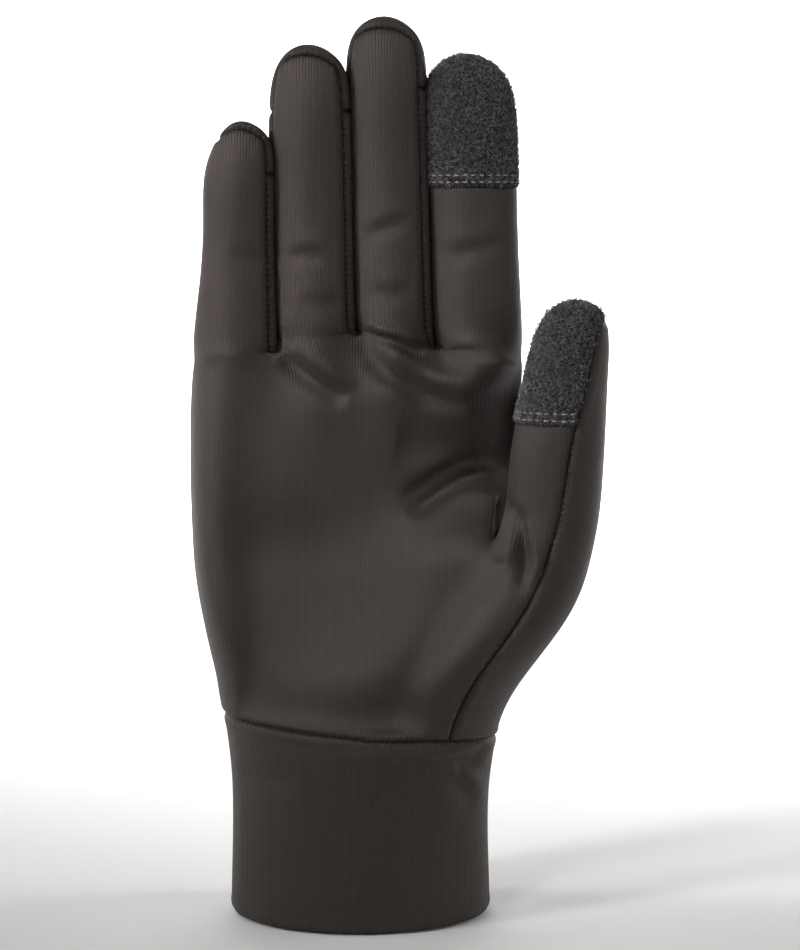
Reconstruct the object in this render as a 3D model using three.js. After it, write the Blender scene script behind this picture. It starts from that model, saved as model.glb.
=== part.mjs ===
// A knitted glove liner, shown as it is worn: fingers up along +Z, palm towards -Y, thumb towards +X.
// The origin is the centre of the cuff's mouth. All sizes are in millimetres.
import * as THREE from 'three';

// Sizes of the cuff
const cuffWidth = 71;
const cuffDepth = 50;
const cuffLength = 51;
const cuffWall = 2.2;
const wristDrop = 6;
const wristRise = 2;
const mouthDrop = 2;
const wristGirth = 1.05;

// Sizes of the hand
const palmWidth = 89;
const palmDepth = 33;
const palmLength = 103.5;
const fingerLength = 87;
const fingerDepth = 17.5;
const fingerGap = 0.5;
const thumbLength = 64.5;
const thumbWidth = 25;
const thumbDepth = 23.5;

// Sizes of the making
const knitWall = 1.2;
const padWall = 1.6;
const seamGap = 0.3;
const seamDip = 0.5;
const foldScale = 1;

// A table turns rows of numbers into rows with named columns.
const table = (columns, rows) =>
  rows.map((row) => Object.fromEntries(columns.map((name, index) => [name, row[index]])));

// Cuff sections: height as a share of the cuff's length, girth as a share of its width and depth.
const cuffSections = table(['height', 'girth'], [
  [0.0, 1.0],
  [0.16, 0.995],
  [0.42, 0.985],
  [0.7, 0.992],
  [0.92, 1.03],
]);

// Sections from the wrist seam to the web of the thumb, bottom up. Heights are shares of the palm's length.
// left, right, little, middle, back and arch place the palm's surface, as shares of its width or depth.
// lobeX and lobeY place the ball of the thumb, lobeWidth and lobeDepth are shares of the thumb's own, and
// step is the angle between its columns. wrist is how far the section still follows the wrist's oval.
const heelSections = table(
  ['height', 'wrist', 'left', 'right', 'little', 'middle', 'back', 'arch',
    'lobeX', 'lobeY', 'lobeWidth', 'lobeDepth', 'step'],
  [
    [0.0, 1.0, -0.42, 0.4, -0.4, -0.7, 0.7, 0.2, 0.2, -0.1, 1.3, 1.5, 24],
    [0.05, 0.65, -0.45, 0.41, -0.42, -0.68, 0.69, 0.22, 0.3, -0.15, 1.36, 1.5, 25],
    [0.12, 0.4, -0.455, 0.42, -0.45, -0.63, 0.66, 0.22, 0.335, -0.25, 1.4, 1.48, 27],
    [0.205, 0.12, -0.465, 0.43, -0.47, -0.57, 0.61, 0.22, 0.376, -0.35, 1.37, 1.4, 30],
    [0.3, 0.0, -0.48, 0.445, -0.48, -0.5, 0.57, 0.21, 0.438, -0.43, 1.3, 1.32, 35],
    [0.4, 0.0, -0.498, 0.46, -0.47, -0.43, 0.54, 0.2, 0.502, -0.5, 1.2, 1.2, 40],
    [0.5, 0.0, -0.506, 0.47, -0.45, -0.37, 0.52, 0.2, 0.544, -0.55, 1.09, 1.1, 45],
  ],
);

// Sections from the web of the thumb to the webs of the fingers.
const palmSections = table(
  ['height', 'left', 'right', 'little', 'middle', 'index', 'back', 'arch', 'scallop'],
  [
    [0.61, -0.51, 0.486, -0.43, -0.34, -0.28, 0.5, 0.2, 0.0],
    [0.71, -0.511, 0.492, -0.41, -0.33, -0.25, 0.47, 0.18, 0.0],
    [0.81, -0.51, 0.498, -0.38, -0.34, -0.28, 0.44, 0.15, 0.02],
    [0.91, -0.505, 0.498, -0.35, -0.35, -0.31, 0.39, 0.11, 0.05],
  ],
);

// The rims where the fingers leave the palm, from the little finger's outer side to the index finger's.
// across is a share of the palm's width, height a share of its length, slope how much lower the back lies,
// ahead how far forward the rim lies as a share of the finger depth.
const webs = table(['across', 'height', 'slope', 'ahead'], [
  [-0.5, 0.955, 0.01, 0.12],
  [-0.247, 0.984, 0.06, 0.08],
  [-0.008, 1.03, 0.06, 0.02],
  [0.226, 0.992, 0.06, -0.03],
  [0.491, 0.975, 0.02, -0.06],
]);

// Fingers: tip is the sideways place of the tip as a share of the palm's width, shift how far the very end
// leans sideways, reach the height as a share of the finger length, slim the width's share towards the tip,
// round the same at the last ring, depth a share of the finger depth, curl how far the tip leans forward.
const fingers = table(['name', 'tip', 'shift', 'reach', 'slim', 'round', 'depth', 'curl'], [
  ['little', -0.35, 0.01, 0.672, 0.82, 0.88, 0.92, 0.3],
  ['ring', -0.145, 0.002, 0.904, 1.0, 0.96, 1.0, 0.36],
  ['middle', 0.079, 0.0, 0.99, 1.0, 1.02, 1.02, 0.34],
  ['index', 0.325, -0.004, 0.872, 0.99, 0.97, 1.02, 0.28],
]);

// Rings along a finger: rise as a share of its length, width and depth as shares of its own.
const fingerRings = table(['rise', 'width', 'depth'], [
  [0.06, 0.985, 1.1],
  [0.3, 1.0, 1.04],
  [0.56, 1.0, 0.98],
  [0.78, 0.965, 0.9],
  [0.93, 0.82, 0.76],
]);

// Rings along the thumb: rise as a share of its length, across as a share of the palm's width,
// ahead as a share of the palm's depth, and turn, the angle of the seam on its outer side.
const thumbRings = table(['rise', 'across', 'ahead', 'width', 'depth', 'turn'], [
  [0.14, 0.572, -0.58, 1.0, 1.04, -84],
  [0.32, 0.582, -0.62, 0.99, 1.0, -80],
  [0.5, 0.594, -0.65, 0.94, 0.96, -74],
  [0.7, 0.612, -0.67, 0.84, 0.88, -62],
  [0.9, 0.628, -0.68, 0.68, 0.68, -48],
]);
const thumbTip = { across: 0.634, ahead: -0.68 };

// Folds and dents, seen from the palm: both ends as shares of the palm's width and length, the half
// width as a share of the palm's width and the depth as a share of its depth. A negative depth stands out.
const folds = table(['fromX', 'fromZ', 'toX', 'toZ', 'width', 'depth'], [
  [-0.24, 0.97, -0.06, 0.85, 0.05, 0.06],
  [-0.17, 1.0, -0.05, 0.93, 0.05, -0.04],
  [0.0, 1.0, 0.2, 0.86, 0.05, 0.07],
  [0.2, 0.86, 0.36, 0.77, 0.05, 0.06],
  [0.26, 0.96, 0.45, 0.94, 0.045, 0.06],
  [0.4, 0.72, 0.15, 0.73, 0.06, 0.05],
  [0.36, 0.63, 0.17, 0.56, 0.05, 0.05],
  [0.42, 0.62, 0.4, 0.45, 0.045, 0.07],
  [0.5, 0.49, 0.54, 0.38, 0.045, 0.06],
  [-0.3, 0.12, 0.25, 0.08, 0.07, 0.05],
]);

// Places on the rings
const frontColumns = 8;
const fingerAngles = [-164, -98, -38, 4, 44, 90, 134, 164];
const squareness = 0.82;
const leanPower = 0.6;
const peakShare = 0.72;
const peakLift = 0.035;
const padRing = 3;
const wristAngles = { little: -162, web: -80, seam: -50, outer: 0, back: 48, end: 160 };
const wristSteps = { web: 8, seam: 10, outer: 12, back: 14, end: 22 };
const lobeStep = 45;
const lobeSeam = -84;

const wristHeight = cuffLength;
const palmTop = wristHeight + palmLength;
const radians = (degrees) => degrees * Math.PI / 180;
const mix = (from, to, share) => from + (to - from) * share;

// A point on a rounded section, from its angle seen from above.
function roundPoint(angle, halfWidth, halfDepth, power = 1) {
  const bend = (value) => Math.sign(value) * Math.abs(value) ** power;
  return [halfWidth * bend(Math.cos(radians(angle))), halfDepth * bend(Math.sin(radians(angle)))];
}

// A curve through three values at 0, one half and 1.
function threeValues(first, middle, last, share) {
  return first * (1 - share) * (1 - 2 * share) + 4 * middle * share * (1 - share)
    + last * share * (2 * share - 1);
}

// The surface is a net of four-sided faces, each with the name of the panel that it belongs to.
const net = { points: [], faces: [] };

function addRing(points) {
  return points.map((point) => net.points.push(point) - 1);
}

// Joins two rings with faces; panelOf names the panel of each column.
function joinRings(lower, upper, panelOf) {
  lower.forEach((corner, column) => {
    const next = (column + 1) % lower.length;
    net.faces.push({ corners: [corner, lower[next], upper[next], upper[column]], panel: panelOf(column) });
  });
}

// The angle of each of the 24 columns round the wrist.
function wristAngle(column) {
  const stops = [
    [0, wristAngles.little],
    [wristSteps.web, wristAngles.web],
    [wristSteps.seam, wristAngles.seam],
    [wristSteps.outer, wristAngles.outer],
    [wristSteps.back, wristAngles.back],
    [wristSteps.end, wristAngles.end],
  ];
  const index = stops.findIndex((stop) => column <= stop[0]);
  if (index === -1) {
    return 180;
  }
  if (index === 0) {
    return wristAngles.little;
  }
  const [start, end] = [stops[index - 1], stops[index]];
  return mix(start[1], end[1], (column - start[0]) / (end[0] - start[0]));
}

// A point of an oval section of the cuff; slant is how much of the wrist seam's slope it follows, and the
// rest is the slope of the mouth.
function wristPoint(column, girth, height, slant) {
  const [x, y] = roundPoint(wristAngle(column), girth * cuffWidth / 2, girth * cuffDepth / 2);
  const wristSlope = wristDrop * x / cuffWidth + wristRise * y / cuffDepth;
  const mouthSlope = mouthDrop * y / cuffDepth;
  return [x, y, height - slant * wristSlope + (1 - slant) * mouthSlope];
}

// The share of the way across the palm of each front column, from the webs' places.
const webStart = webs[0].across;
const webSpan = webs[4].across - webStart;
const acrossShare = (column) => {
  const left = webs[Math.floor(column / 2)].across;
  const right = webs[Math.ceil(column / 2)].across;
  return ((left + right) / 2 - webStart) / webSpan;
};

const insetShare = 0.17;
const cornerInset = insetShare * palmDepth;

// The 24 points of a section below the web of the thumb.
function heelRing(section) {
  const height = wristHeight + section.height * palmLength;
  const lobe = (index) => {
    const [x, y] = roundPoint(
      lobeSeam + (index - 2) * section.step,
      section.lobeWidth * thumbWidth / 2,
      section.lobeDepth * thumbDepth / 2,
    );
    return [section.lobeX * palmWidth + x, section.lobeY * palmDepth + y];
  };
  const left = section.left * palmWidth;
  const palm = [];
  for (let column = 0; column <= frontColumns; column += 1) {
    const share = acrossShare(column);
    const edge = lobe(0);
    palm.push([
      mix(left + cornerInset, edge[0], share),
      threeValues(section.little * palmDepth, section.middle * palmDepth, edge[1], share),
    ]);
  }
  const thumb = [1, 2, 3, 4, 5, 6].map(lobe);
  const back = [];
  for (let column = 1; column <= frontColumns; column += 1) {
    const share = 1 - acrossShare(frontColumns - column);
    back.push([
      mix(section.right * palmWidth, left + cornerInset, share),
      palmDepth * (section.back - section.arch * (2 * share - 1) ** 2),
    ]);
  }
  const side = [left, palmDepth * (section.little + section.back - section.arch) / 2];
  return [...palm, ...thumb, ...back, side].map(([x, y], column) => {
    const [ovalX, ovalY, ovalZ] = wristPoint(column, wristGirth, height, 1);
    return [mix(x, ovalX, section.wrist), mix(y, ovalY, section.wrist), mix(height, ovalZ, section.wrist)];
  });
}

// The 20 points of a section between the web of the thumb and the webs of the fingers.
function palmRing(section) {
  const height = wristHeight + section.height * palmLength;
  const left = section.left * palmWidth;
  const right = section.right * palmWidth;
  const front = [];
  const back = [];
  for (let column = 0; column <= frontColumns; column += 1) {
    const share = acrossShare(column);
    const valley = column % 2 === 0 && column > 0 && column < frontColumns ? section.scallop : 0;
    front.push([
      mix(left + cornerInset, right - cornerInset, share),
      palmDepth * (threeValues(section.little, section.middle, section.index, share) + valley),
      height,
    ]);
    back.unshift([
      mix(left + cornerInset, right - cornerInset, share),
      palmDepth * (section.back - section.arch * (2 * share - 1) ** 2 - valley),
      height,
    ]);
  }
  const outer = [right, palmDepth * (section.index + section.back - section.arch) / 2, height];
  const inner = [left, palmDepth * (section.little + section.back - section.arch) / 2, height];
  return [...front, outer, ...back, inner];
}

// The points where the fingers leave the palm: front, back, and the middle of each web.
const rootShare = 1.1;
const webShare = 0.3;
const cornerShare = 0.76;
const webSlope = 0.4;

function webRing() {
  const front = [];
  const back = [];
  const middle = [];
  for (let column = 0; column <= frontColumns; column += 1) {
    const leftWeb = webs[Math.floor(column / 2)];
    const rightWeb = webs[Math.ceil(column / 2)];
    const x = palmWidth * (leftWeb.across + rightWeb.across) / 2;
    const z = wristHeight + palmLength * (leftWeb.height + rightWeb.height) / 2;
    const lower = palmLength * (leftWeb.slope + rightWeb.slope) / 2;
    const isWeb = column % 2 === 0;
    const isCorner = column === 0 || column === frontColumns;
    const y = -fingerDepth * (leftWeb.ahead + rightWeb.ahead) / 2;
    const cornerDepth = cornerShare * rootShare / 2;
    const innerDepth = isWeb ? webShare : rootShare / 2;
    const depth = fingerDepth * (isCorner ? cornerDepth : innerDepth);
    const inset = isCorner ? cornerInset * cornerShare * (column === 0 ? 1 : -1) : 0;
    front.push([x + inset, y - depth, z]);
    back.unshift([x + inset, y + depth, z - lower]);
    if (isWeb) {
      middle.push([x, y, z - lower * webSlope]);
    }
  }
  return { front, back, middle };
}

const webPoints = webRing();

// Names the panel of each column of a finger, and of the four faces that close its tip.
function fingerPanels(index) {
  const strips = ['little_ring_fourchette', 'ring_middle_fourchette', 'middle_index_fourchette'];
  const hasLeftStrip = index > 0;
  const hasRightStrip = index < strips.length;
  const padded = !hasRightStrip;
  return (ring, column) => {
    const tip = ring === fingerRings.length - 1;
    const onPad = padded && ring >= padRing;
    if (column < 2) {
      return onPad ? 'index_touch_pad' : 'palm_panel';
    }
    if (column < 4) {
      if (hasRightStrip) {
        return tip ? 'back_panel' : strips[index];
      }
      const front = onPad ? 'index_touch_pad' : 'palm_panel';
      return column === 2 ? front : 'back_panel';
    }
    if (column < 6) {
      return 'back_panel';
    }
    if (onPad) {
      return column === 7 ? 'index_touch_pad' : 'back_panel';
    }
    if (hasLeftStrip) {
      return tip ? 'back_panel' : strips[index - 1];
    }
    return column === 7 && !tip ? 'palm_panel' : 'back_panel';
  };
}

function closeTip(ring, tip, panels) {
  const [top] = addRing([tip]);
  [0, 2, 4, 6].forEach((corner, face) => {
    const after = ring[(corner + 1) % 8];
    const before = ring[(corner + 7) % 8];
    net.faces.push({ corners: [ring[corner], after, top, before], panel: panels[face] });
  });
}

function addFinger(index, base) {
  const finger = fingers[index];
  const [leftWeb, rightWeb] = [webs[index], webs[index + 1]];
  const width = (rightWeb.across - leftWeb.across) * palmWidth - fingerGap;
  const baseX = palmWidth * (leftWeb.across + rightWeb.across) / 2;
  const baseZ = wristHeight + palmLength * (leftWeb.height + rightWeb.height) / 2;
  const tipX = palmWidth * finger.tip;
  const tipZ = palmTop + fingerLength * finger.reach;
  const depth = fingerDepth * finger.depth;
  const baseY = -fingerDepth * (leftWeb.ahead + rightWeb.ahead) / 2;
  const centre = (rise) => [
    mix(baseX, tipX, rise ** leanPower),
    baseY - fingerDepth * finger.curl * rise ** 2,
    mix(baseZ, tipZ, rise),
  ];
  const panelOf = fingerPanels(index);
  let lower = base;
  fingerRings.forEach((ring, ringIndex) => {
    const [x, y, z] = centre(ring.rise);
    const slim = mix(1, finger.slim, Math.min(1, ring.rise * 2));
    const tip = ringIndex === fingerRings.length - 1;
    const shift = tip ? finger.shift * palmWidth : 0;
    const points = fingerAngles.map((angle, column) => {
      const [pointX, pointY] = roundPoint(
        angle,
        ring.width * slim * (tip ? finger.round : 1) * width / 2,
        ring.depth * depth / 2,
        squareness,
      );
      const peak = tip && column === 1;
      return [
        x + pointX + shift,
        y + pointY * (peak ? peakShare : 1),
        z + (peak ? peakLift * fingerLength : 0),
      ];
    });
    const upper = addRing(points);
    joinRings(lower, upper, (column) => panelOf(ringIndex, column));
    lower = upper;
  });
  const [x, y, z] = centre(1);
  const front = panelOf(fingerRings.length - 1, 0) === 'index_touch_pad' ? 'index_touch_pad' : 'back_panel';
  closeTip(lower, [x + finger.shift * palmWidth, y, z], [front, front, 'back_panel', 'back_panel']);
}

function addThumb(base) {
  const webZ = wristHeight + heelSections[heelSections.length - 1].height * palmLength;
  let lower = base;
  thumbRings.forEach((ring, ringIndex) => {
    const points = [];
    for (let column = 0; column < 8; column += 1) {
      const [x, y] = roundPoint(
        ring.turn + (column - 2) * lobeStep,
        ring.width * thumbWidth / 2,
        ring.depth * thumbDepth / 2,
      );
      points.push([
        ring.across * palmWidth + x,
        ring.ahead * palmDepth + y,
        webZ + ring.rise * thumbLength,
      ]);
    }
    const upper = addRing(points);
    const front = ringIndex >= padRing ? 'thumb_touch_pad' : 'palm_panel';
    joinRings(lower, upper, (column) => (column < 2 || column === 7 ? front : 'back_panel'));
    lower = upper;
  });
  const tip = [thumbTip.across * palmWidth, thumbTip.ahead * palmDepth, webZ + thumbLength];
  closeTip(lower, tip, ['thumb_touch_pad', 'thumb_touch_pad', 'back_panel', 'back_panel']);
}

// Builds the whole net, from the cuff's mouth upwards.
function buildNet() {
  let lower;
  const columns = [...Array(24).keys()];
  cuffSections.forEach((section, index) => {
    const ring = addRing(columns.map((column) =>
      wristPoint(column, section.girth, section.height * cuffLength, section.height)));
    if (index > 0) {
      joinRings(lower, ring, () => 'cuff');
    }
    lower = ring;
  });
  heelSections.forEach((section, index) => {
    const ring = addRing(heelRing(section));
    const panelOf = (column) => (column < 10 || column === 23 ? 'palm_panel' : 'back_panel');
    joinRings(lower, ring, index === 0 ? () => 'cuff' : panelOf);
    lower = ring;
  });

  const web = heelSections[heelSections.length - 1];
  const [webX, webY] = roundPoint(
    lobeSeam + 5 * lobeStep,
    web.lobeWidth * thumbWidth / 2,
    web.lobeDepth * thumbDepth / 2,
  );
  const webZ = wristHeight + web.height * palmLength;
  const [thumbWeb] = addRing([[web.lobeX * palmWidth + webX, web.lobeY * palmDepth + webY, webZ]]);
  addThumb([...lower.slice(8, 15), thumbWeb]);

  const palmPanelOf = (column) => (column < 9 || column === 19 ? 'palm_panel' : 'back_panel');
  lower = [...lower.slice(0, 9), thumbWeb, ...lower.slice(14)];
  palmSections.forEach((section) => {
    const ring = addRing(palmRing(section));
    joinRings(lower, ring, palmPanelOf);
    lower = ring;
  });
  const front = addRing(webPoints.front);
  const middle = addRing(webPoints.middle);
  const back = addRing(webPoints.back);
  joinRings(lower, [...front, middle[4], ...back, middle[0]], palmPanelOf);

  fingers.forEach((finger, index) => {
    const left = 2 * index;
    addFinger(index, [
      front[left], front[left + 1], front[left + 2], middle[index + 1],
      back[6 - left], back[7 - left], back[8 - left], middle[index],
    ]);
  });
}

const add = (a, b, scale = 1) => [a[0] + b[0] * scale, a[1] + b[1] * scale, a[2] + b[2] * scale];
const dot = (a, b) => a[0] * b[0] + a[1] * b[1] + a[2] * b[2];
const cross = (a, b) => [a[1] * b[2] - a[2] * b[1], a[2] * b[0] - a[0] * b[2], a[0] * b[1] - a[1] * b[0]];
const unit = (a) => {
  const length = Math.sqrt(dot(a, a)) || 1;
  return [a[0] / length, a[1] / length, a[2] / length];
};
const average = (points) => {
  const sum = points.reduce((total, point) => add(total, point), [0, 0, 0]);
  return sum.map((value) => value / points.length);
};

// Finds each edge's ends and faces, and each point's edges and faces.
function readNet(faces, count) {
  const edges = new Map();
  const around = Array.from({ length: count }, () => ({ edges: [], faces: [] }));
  faces.forEach((face, faceIndex) => {
    face.corners.forEach((corner, side) => {
      const next = face.corners[(side + 1) % 4];
      const key = corner < next ? `${corner},${next}` : `${next},${corner}`;
      if (!edges.has(key)) {
        edges.set(key, { ends: [corner, next], faces: [] });
        around[corner].edges.push(edges.get(key));
        around[next].edges.push(edges.get(key));
      }
      edges.get(key).faces.push(faceIndex);
      around[corner].faces.push(faceIndex);
    });
  });
  return { edges, around };
}

const otherEnd = (edge, point) => (edge.ends[0] === point ? edge.ends[1] : edge.ends[0]);
const isRim = (edge) => edge.faces.length === 1;

// The place on the smooth surface that each point of the net ends up at.
function smoothPlaces(points, faces, { around }) {
  return points.map((point, index) => {
    const rim = around[index].edges.filter(isRim);
    if (rim.length > 0) {
      const ends = average(rim.map((edge) => points[otherEnd(edge, index)]));
      return average([point, point, ends]);
    }
    const count = around[index].edges.length;
    let sum = point.map((value) => value * count * count);
    around[index].edges.forEach((edge) => {
      sum = add(sum, points[otherEnd(edge, index)], 4);
    });
    around[index].faces.forEach((faceIndex) => {
      const corners = faces[faceIndex].corners;
      sum = add(sum, points[corners[(corners.indexOf(index) + 2) % 4]]);
    });
    return sum.map((value) => value / (count * (count + 5)));
  });
}

// One step of Catmull and Clark's subdivision.
function subdivide({ points, faces }) {
  const { edges, around } = readNet(faces, points.length);
  const centres = faces.map((face) => average(face.corners.map((corner) => points[corner])));
  const moved = points.map((point, index) => {
    const rim = around[index].edges.filter(isRim);
    if (rim.length > 0) {
      const ends = average(rim.map((edge) => points[otherEnd(edge, index)]));
      return average([point, point, point, ends]);
    }
    const count = around[index].edges.length;
    const nearFaces = average(around[index].faces.map((face) => centres[face]));
    const middles = around[index].edges.map((edge) => average(edge.ends.map((end) => points[end])));
    const nearEdges = average(middles);
    const sum = add(add(nearFaces, nearEdges, 2), point, count - 3);
    return sum.map((value) => value / count);
  });
  const all = [...moved];
  const centreIndex = centres.map((centre) => all.push(centre) - 1);
  edges.forEach((edge) => {
    const ends = edge.ends.map((end) => points[end]);
    const near = isRim(edge) ? ends : [...ends, ...edge.faces.map((face) => centres[face])];
    edge.index = all.push(average(near)) - 1;
  });
  const edgeIndex = (a, b) => edges.get(a < b ? `${a},${b}` : `${b},${a}`).index;
  const split = [];
  faces.forEach(({ corners, panel }, faceIndex) => {
    corners.forEach((corner, side) => {
      const next = corners[(side + 1) % 4];
      const previous = corners[(side + 3) % 4];
      const quad = [corner, edgeIndex(corner, next), centreIndex[faceIndex], edgeIndex(previous, corner)];
      split.push({ corners: quad, panel });
    });
  });
  return { points: all, faces: split };
}

const fitPasses = 4;

// Moves the net so that its smooth surface passes through the points of the tables.
function fitNet({ points, faces }) {
  const links = readNet(faces, points.length);
  let fitted = points;
  for (let pass = 0; pass < fitPasses; pass += 1) {
    const places = smoothPlaces(fitted, faces, links);
    fitted = fitted.map((point, index) => add(add(point, points[index]), places[index], -1));
  }
  return { points: fitted, faces };
}

function pointNormals(points, faces) {
  const normals = points.map(() => [0, 0, 0]);
  faces.forEach(({ corners }) => {
    const [a, b, c, d] = corners.map((corner) => points[corner]);
    const normal = cross(add(c, a, -1), add(d, b, -1));
    corners.forEach((corner) => {
      normals[corner] = add(normals[corner], normal);
    });
  });
  return normals.map(unit);
}

const facingGain = 1.5;

// How deep the folds press in at a point of the palm side.
function foldDepth([x, , z], normal) {
  const facing = Math.max(0, Math.min(1, -normal[1] * facingGain));
  return folds.reduce((sum, fold) => {
    const from = [fold.fromX * palmWidth, wristHeight + fold.fromZ * palmLength];
    const to = [fold.toX * palmWidth, wristHeight + fold.toZ * palmLength];
    const run = [to[0] - from[0], to[1] - from[1]];
    const along = ((x - from[0]) * run[0] + (z - from[1]) * run[1]) / (run[0] ** 2 + run[1] ** 2);
    const share = Math.max(0, Math.min(1, along));
    const away = Math.hypot(x - from[0] - run[0] * share, z - from[1] - run[1] * share);
    const fade = Math.exp(-((away / (fold.width * palmWidth)) ** 2));
    return sum + fade * fold.depth * palmDepth * foldScale;
  }, 0) * facing;
}

// Presses the folds and the seams into the smooth surface.
function dress({ points, faces }) {
  const links = readNet(faces, points.length);
  const places = smoothPlaces(points, faces, links);
  const normals = pointNormals(places, faces);
  const dressed = places.map((place, index) => {
    const panels = new Set(links.around[index].faces.map((face) => faces[face].panel));
    const dip = panels.size > 1 ? seamDip : 0;
    return add(place, normals[index], -foldDepth(place, normals[index]) - dip);
  });
  return { points: dressed, faces, normals: pointNormals(dressed, faces) };
}

// Cuts one panel out of the surface as a closed solid with its own wall, drawn back from its seams.
function panelGeometry(surface, panel, wall) {
  const faces = surface.faces.filter((face) => face.panel === panel);
  const { edges } = readNet(faces, surface.points.length);
  const inward = new Map();
  edges.forEach((edge) => {
    if (!isRim(edge)) {
      return;
    }
    const [start, end] = edge.ends.map((index) => surface.points[index]);
    const face = faces[edge.faces[0]];
    const centre = average(face.corners.map((corner) => surface.points[corner]));
    const along = unit(add(end, start, -1));
    const into = add(centre, start, -1);
    const across = unit(add(into, along, -dot(into, along)));
    edge.ends.forEach((index) => {
      inward.set(index, add(inward.get(index) ?? [0, 0, 0], across));
    });
  });

  const order = new Map();
  const outer = [];
  faces.forEach(({ corners }) => {
    corners.forEach((corner) => {
      if (order.has(corner)) {
        return;
      }
      order.set(corner, outer.length);
      const push = inward.has(corner) ? unit(inward.get(corner)) : [0, 0, 0];
      const place = add(surface.points[corner], push, seamGap / 2);
      outer.push({ place, normal: surface.normals[corner] });
    });
  });
  const inner = outer.map(({ place, normal }) => add(place, normal, -wall));
  const positions = [...outer.map(({ place }) => place), ...inner].flat();
  const count = outer.length;
  const indices = [];
  const addQuad = (a, b, c, d) => indices.push(a, b, c, a, c, d);
  faces.forEach(({ corners }) => {
    const [a, b, c, d] = corners.map((corner) => order.get(corner));
    addQuad(a, b, c, d);
    addQuad(d + count, c + count, b + count, a + count);
  });
  edges.forEach((edge) => {
    if (!isRim(edge)) {
      return;
    }
    const [a, b] = edge.ends.map((index) => order.get(index));
    if (edge.ends[0] < edge.ends[1]) {
      addQuad(b, a, a + count, b + count);
    } else {
      addQuad(a, a + count, b + count, b);
    }
  });
  const geometry = new THREE.BufferGeometry();
  geometry.setAttribute('position', new THREE.Float32BufferAttribute(positions, 3));
  geometry.setIndex(indices);
  geometry.computeVertexNormals();
  return geometry;
}

const knit = { color: 0x3b3533, roughness: 0.9, metalness: 0 };
const brushed = { color: 0x3d3c3c, roughness: 1, metalness: 0 };
const panels = [
  { name: 'palm_panel', wall: knitWall, look: knit },
  { name: 'back_panel', wall: knitWall, look: knit },
  { name: 'little_ring_fourchette', wall: knitWall, look: knit },
  { name: 'ring_middle_fourchette', wall: knitWall, look: knit },
  { name: 'middle_index_fourchette', wall: knitWall, look: knit },
  { name: 'index_touch_pad', wall: padWall, look: brushed },
  { name: 'thumb_touch_pad', wall: padWall, look: brushed },
  { name: 'cuff', wall: cuffWall, look: knit },
];

buildNet();
const surface = dress(subdivide(fitNet(net)));

const glove = new THREE.Group();
panels.forEach(({ name, wall, look }) => {
  const mesh = new THREE.Mesh(panelGeometry(surface, name, wall), new THREE.MeshStandardMaterial(look));
  mesh.name = name;
  glove.add(mesh);
});

export default glove;
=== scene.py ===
import math

import bpy
import numpy as np
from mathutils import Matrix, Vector
from mathutils.bvhtree import BVHTree


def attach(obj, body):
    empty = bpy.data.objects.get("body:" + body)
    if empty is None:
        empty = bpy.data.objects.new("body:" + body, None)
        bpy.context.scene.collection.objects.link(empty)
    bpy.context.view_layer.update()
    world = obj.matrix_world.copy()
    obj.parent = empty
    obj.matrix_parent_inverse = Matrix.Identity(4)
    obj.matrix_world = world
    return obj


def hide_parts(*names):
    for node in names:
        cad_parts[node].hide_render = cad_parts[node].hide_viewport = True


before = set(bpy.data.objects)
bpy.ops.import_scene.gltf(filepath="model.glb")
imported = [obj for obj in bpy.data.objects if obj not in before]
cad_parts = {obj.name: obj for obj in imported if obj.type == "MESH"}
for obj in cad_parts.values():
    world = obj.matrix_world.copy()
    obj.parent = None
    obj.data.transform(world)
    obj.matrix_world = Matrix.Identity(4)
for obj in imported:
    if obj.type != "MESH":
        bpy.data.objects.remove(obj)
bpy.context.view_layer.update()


# Hand of the glove: the palm and back panels, the strips between the fingers and the cuff are cut from one
# thin stretch knit. All of them lie on one smooth surface, a net of four-sided faces drawn ring by ring from
# the cuff's mouth to the fingertips, as the worn knit stretches. Lengths are in metres, angles in degrees.
cuff_width = 0.071
cuff_depth = 0.050
cuff_length = 0.051
wrist_drop = 0.006
wrist_rise = 0.002
mouth_drop = 0.002
wrist_girth = 1.05
palm_width = 0.089
palm_depth = 0.033
palm_length = 0.1035
finger_length = 0.087
finger_depth = 0.0175
finger_gap = -0.0005
thumb_length = 0.0645
thumb_width = 0.025
thumb_depth = 0.0235


def rows(columns, *values):
    return [dict(zip(columns.split(), row)) for row in values]


# Shares of the sizes above, as a pattern maker's table gives them.
cuff_sections = rows("height girth", (0, 1), (0.16, 0.995), (0.42, 0.985), (0.7, 0.992), (0.92, 1.03))
heel_sections = rows(
    "height wrist left right little middle back arch lobe_x lobe_y lobe_width lobe_depth step",
    (0.0, 1.0, -0.42, 0.4, -0.4, -0.7, 0.7, 0.2, 0.2, -0.1, 1.3, 1.5, 24),
    (0.05, 0.65, -0.45, 0.41, -0.42, -0.68, 0.69, 0.22, 0.3, -0.15, 1.36, 1.5, 25),
    (0.12, 0.4, -0.455, 0.42, -0.45, -0.63, 0.66, 0.22, 0.335, -0.25, 1.4, 1.48, 27),
    (0.205, 0.12, -0.465, 0.43, -0.47, -0.57, 0.61, 0.22, 0.376, -0.35, 1.37, 1.4, 30),
    (0.3, 0.0, -0.48, 0.445, -0.48, -0.5, 0.57, 0.21, 0.438, -0.43, 1.3, 1.32, 35),
    (0.4, 0.0, -0.498, 0.46, -0.47, -0.43, 0.54, 0.2, 0.502, -0.5, 1.2, 1.2, 40),
    (0.5, 0.0, -0.506, 0.47, -0.45, -0.37, 0.52, 0.2, 0.544, -0.55, 1.09, 1.1, 45),
)
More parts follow.
